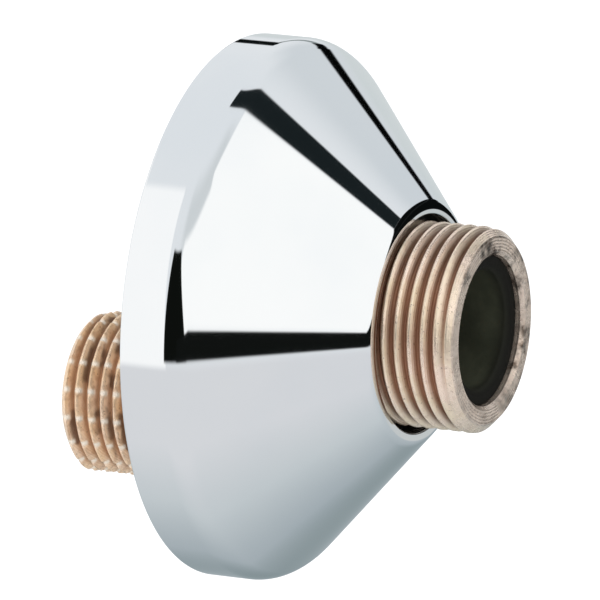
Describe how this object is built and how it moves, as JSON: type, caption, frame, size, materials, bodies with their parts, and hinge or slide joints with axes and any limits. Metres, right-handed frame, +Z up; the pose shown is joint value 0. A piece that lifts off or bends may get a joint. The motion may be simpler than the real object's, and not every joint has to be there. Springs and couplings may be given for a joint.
{
  "type": "s-union tap connector",
  "caption": "Offset brass wall connector for a bath or shower tap, with a threaded inlet and outlet, a sliding chromed cone escutcheon and a black damping sleeve in the outlet bore.",
  "frame": {"origin": "centre of the escutcheon's rear rim, in the finished wall's plane, on the outlet axis", "axes": "+Y into the wall along the inlet, -Y out of the wall along the outlet, +Z up, with the inlet axis straight below the outlet axis"},
  "size_m": [0.07, 0.0567, 0.07],
  "materials": {
    "bare_brass": "machined threads, cast neck",
    "black_rubber": "matt moulded",
    "chromed_shell": "polished"
  },
  "bodies": {
    "union": {"s_union_body": "bare_brass", "noise_damper": "black_rubber"},
    "cover": {"escutcheon": "chromed_shell"}
  },
  "joints": [
    {"name": "escutcheon_slide", "type": "slide", "parent": "union", "child": "cover", "axis": [0, -1, 0], "range_m": [-0.004, 0.0096]}
  ]
}
